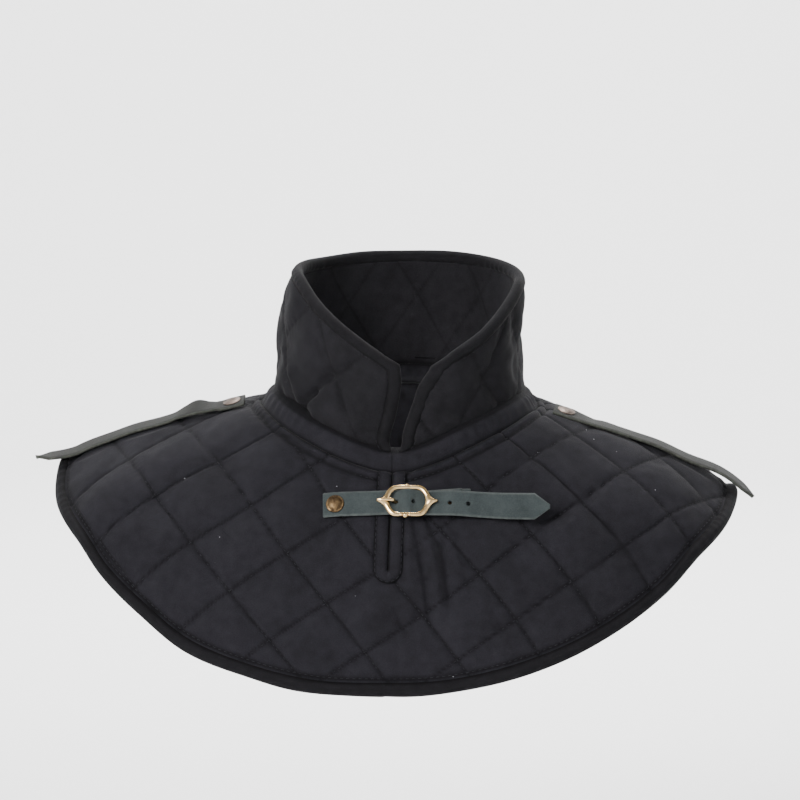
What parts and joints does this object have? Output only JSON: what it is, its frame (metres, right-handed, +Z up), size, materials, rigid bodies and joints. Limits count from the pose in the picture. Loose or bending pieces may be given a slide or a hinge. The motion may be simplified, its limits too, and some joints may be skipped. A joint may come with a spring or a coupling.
{
  "type": "padded arming collar",
  "caption": "Quilted padded arming collar: stand-up neck collar on a round shoulder mantle, closed by a buckled strap.",
  "frame": {"origin": "middle of the wearer's neck, level with the collar's foot at the sides, as neck_seat", "axes": "+X towards the side that is on the right when seen from the front, -Y towards the front, +Z up"},
  "size_m": [0.5435, 0.2893, 0.3076],
  "materials": {
    "quilted_cloth": "matt black quilted cotton",
    "binding_cloth": "matt black cotton binding",
    "strap_leather": "grey green suede leather",
    "shoulder_leather": "dark grey green leather",
    "brass": "polished cast brass",
    "aged_brass": "tarnished brass"
  },
  "bodies": {
    "root": {"mantle": "quilted_cloth", "hem_binding": "binding_cloth", "slit_binding": "binding_cloth", "neck_band": "quilted_cloth", "collar": "quilted_cloth", "collar_binding": "binding_cloth", "front_strap": "strap_leather", "buckle_frame": "brass", "buckle_prong": "brass", "buckle_tab": "strap_leather", "front_rivet": "aged_brass", "buckle_tab_rivet": "aged_brass", "shoulder_strap_left": "shoulder_leather", "shoulder_rivet_left": "aged_brass", "shoulder_strap_right": "shoulder_leather", "shoulder_rivet_right": "aged_brass"}
  },
  "joints": []
}
